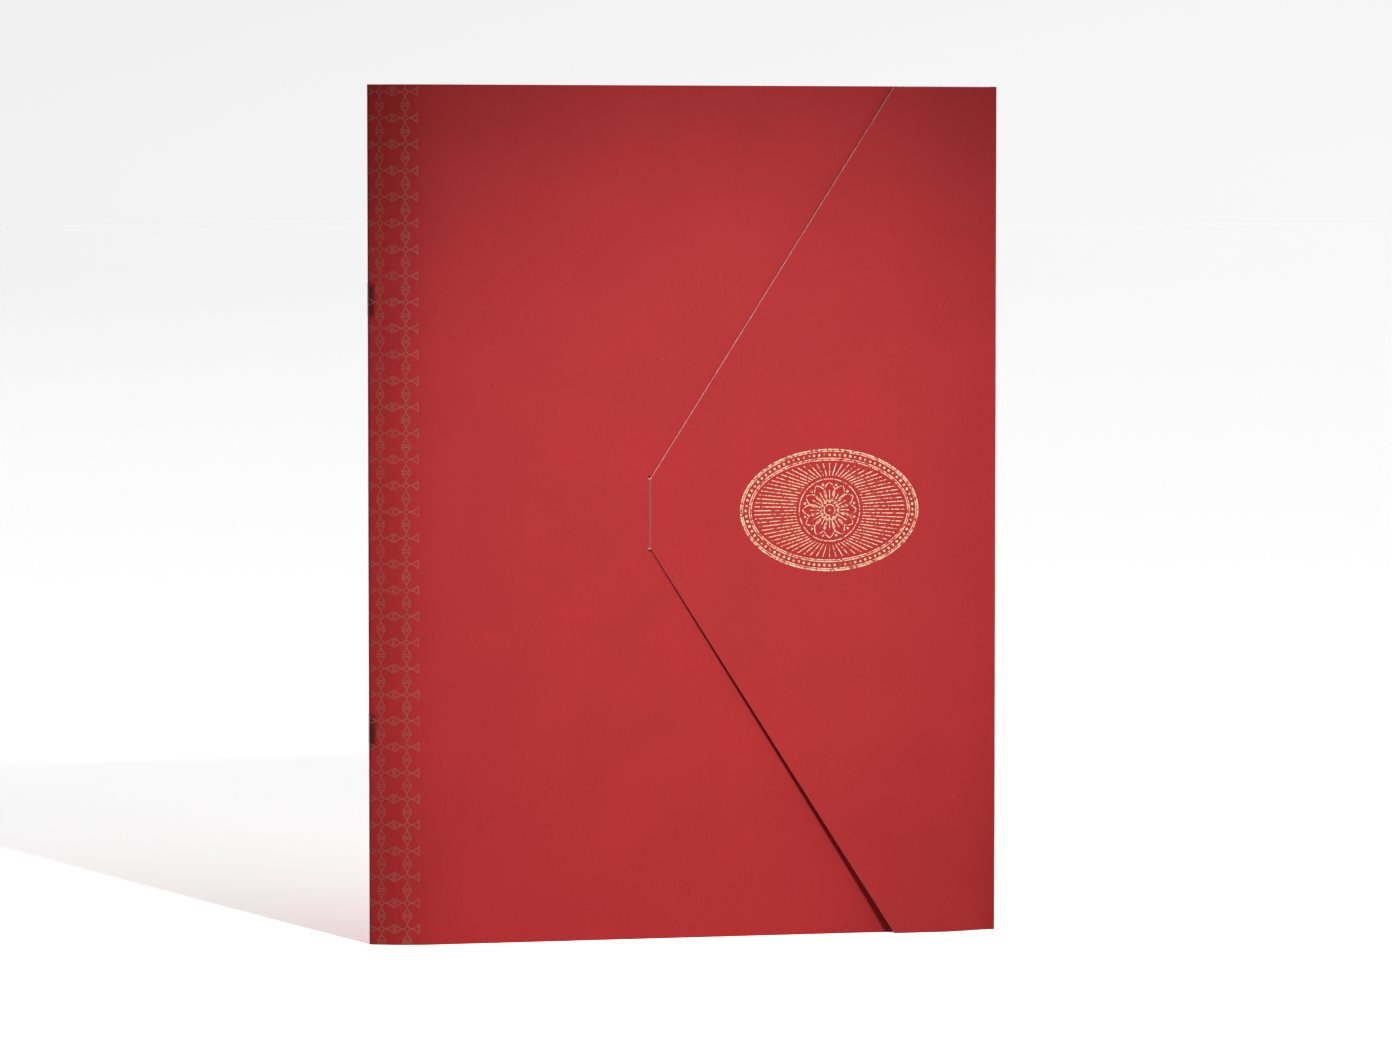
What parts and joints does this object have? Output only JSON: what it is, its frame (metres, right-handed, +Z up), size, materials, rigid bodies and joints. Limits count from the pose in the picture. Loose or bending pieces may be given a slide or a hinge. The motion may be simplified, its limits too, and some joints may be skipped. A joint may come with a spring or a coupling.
{
  "type": "prayer book",
  "caption": "Upright stapled prayer booklet in a red card cover, with a wrap-round flap that tucks into a slit in the front cover.",
  "frame": {"origin": "middle of the closed book's footprint, on the surface that it stands on", "axes": "+Z up along the spine, -Y out of the front cover, -X towards the spine and +X towards the fore edge"},
  "size_m": [0.2286, 0.0176, 0.3048],
  "materials": {
    "cover_card": "satin",
    "leaf_paper": "matte",
    "staple_wire": "satin",
    "gold_foil": "satin"
  },
  "bodies": {
    "booklet": {"spine_fold": "cover_card", "back_cover": "cover_card", "staple_lower": "staple_wire", "staple_upper": "staple_wire", "sheet_01_back_leaf": "leaf_paper", "sheet_02_back_leaf": "leaf_paper", "sheet_03_back_leaf": "leaf_paper", "sheet_04_back_leaf": "leaf_paper", "sheet_05_back_leaf": "leaf_paper", "sheet_06_back_leaf": "leaf_paper", "sheet_07_back_leaf": "leaf_paper", "sheet_08_back_leaf": "leaf_paper", "sheet_09_back_leaf": "leaf_paper", "sheet_10_back_leaf": "leaf_paper"},
    "front_cover": {"front_cover": "cover_card"},
    "front_leaf_01": {"sheet_01_front_leaf": "leaf_paper"},
    "front_leaf_02": {"sheet_02_front_leaf": "leaf_paper"},
    "front_leaf_03": {"sheet_03_front_leaf": "leaf_paper"},
    "front_leaf_04": {"sheet_04_front_leaf": "leaf_paper"},
    "front_leaf_05": {"sheet_05_front_leaf": "leaf_paper"},
    "front_leaf_06": {"sheet_06_front_leaf": "leaf_paper"},
    "front_leaf_07": {"sheet_07_front_leaf": "leaf_paper"},
    "front_leaf_08": {"sheet_08_front_leaf": "leaf_paper"},
    "front_leaf_09": {"sheet_09_front_leaf": "leaf_paper"},
    "front_leaf_10": {"sheet_10_front_leaf": "leaf_paper"},
    "fore_edge_strip": {"fore_edge_strip": "cover_card"},
    "closing_flap": {"closing_flap": "cover_card"}
  },
  "joints": [
    {"name": "cover_turn", "type": "hinge", "parent": "booklet", "child": "front_cover", "pos_m": [-0.11298, 0.00228, 0.1524], "axis": [0, 0, -1], "range_deg": [0, 175]},
    {"name": "leaf_turn_01", "type": "hinge", "parent": "booklet", "child": "front_leaf_01", "pos_m": [-0.11298, 0.00228, 0.1524], "axis": [0, 0, -1], "range_deg": [0, 175]},
    {"name": "leaf_turn_02", "type": "hinge", "parent": "booklet", "child": "front_leaf_02", "pos_m": [-0.11298, 0.00228, 0.1524], "axis": [0, 0, -1], "range_deg": [0, 175]},
    {"name": "leaf_turn_03", "type": "hinge", "parent": "booklet", "child": "front_leaf_03", "pos_m": [-0.11298, 0.00228, 0.1524], "axis": [0, 0, -1], "range_deg": [0, 175]},
    {"name": "leaf_turn_04", "type": "hinge", "parent": "booklet", "child": "front_leaf_04", "pos_m": [-0.11298, 0.00228, 0.1524], "axis": [0, 0, -1], "range_deg": [0, 175]},
    {"name": "leaf_turn_05", "type": "hinge", "parent": "booklet", "child": "front_leaf_05", "pos_m": [-0.11298, 0.00228, 0.1524], "axis": [0, 0, -1], "range_deg": [0, 175]},
    {"name": "leaf_turn_06", "type": "hinge", "parent": "booklet", "child": "front_leaf_06", "pos_m": [-0.11298, 0.00228, 0.1524], "axis": [0, 0, -1], "range_deg": [0, 175]},
    {"name": "leaf_turn_07", "type": "hinge", "parent": "booklet", "child": "front_leaf_07", "pos_m": [-0.11298, 0.00228, 0.1524], "axis": [0, 0, -1], "range_deg": [0, 175]},
    {"name": "leaf_turn_08", "type": "hinge", "parent": "booklet", "child": "front_leaf_08", "pos_m": [-0.11298, 0.00228, 0.1524], "axis": [0, 0, -1], "range_deg": [0, 175]},
    {"name": "leaf_turn_09", "type": "hinge", "parent": "booklet", "child": "front_leaf_09", "pos_m": [-0.11298, 0.00228, 0.1524], "axis": [0, 0, -1], "range_deg": [0, 175]},
    {"name": "leaf_turn_10", "type": "hinge", "parent": "booklet", "child": "front_leaf_10", "pos_m": [-0.11298, 0.00228, 0.1524], "axis": [0, 0, -1], "range_deg": [0, 175]},
    {"name": "strip_fold", "type": "hinge", "parent": "booklet", "child": "fore_edge_strip", "pos_m": [0.11385, 0.00835, 0.1524], "axis": [0, 0, 1], "range_deg": [0, 90]},
    {"name": "flap_turn", "type": "hinge", "parent": "fore_edge_strip", "child": "closing_flap", "pos_m": [0.11385, -0.00435, 0.1524], "axis": [0, 0, 1], "range_deg": [0, 175]}
  ],
  "couplings": [
    {"joint": "leaf_turn_01", "follows": "cover_turn", "ratio": 0.974},
    {"joint": "leaf_turn_02", "follows": "cover_turn", "ratio": 0.948},
    {"joint": "leaf_turn_03", "follows": "cover_turn", "ratio": 0.922},
    {"joint": "leaf_turn_04", "follows": "cover_turn", "ratio": 0.896},
    {"joint": "leaf_turn_05", "follows": "cover_turn", "ratio": 0.87},
    {"joint": "leaf_turn_06", "follows": "cover_turn", "ratio": 0.844},
    {"joint": "leaf_turn_07", "follows": "cover_turn", "ratio": 0.818},
    {"joint": "leaf_turn_08", "follows": "cover_turn", "ratio": 0.792},
    {"joint": "leaf_turn_09", "follows": "cover_turn", "ratio": 0.766},
    {"joint": "leaf_turn_10", "follows": "cover_turn", "ratio": 0.74}
  ]
}
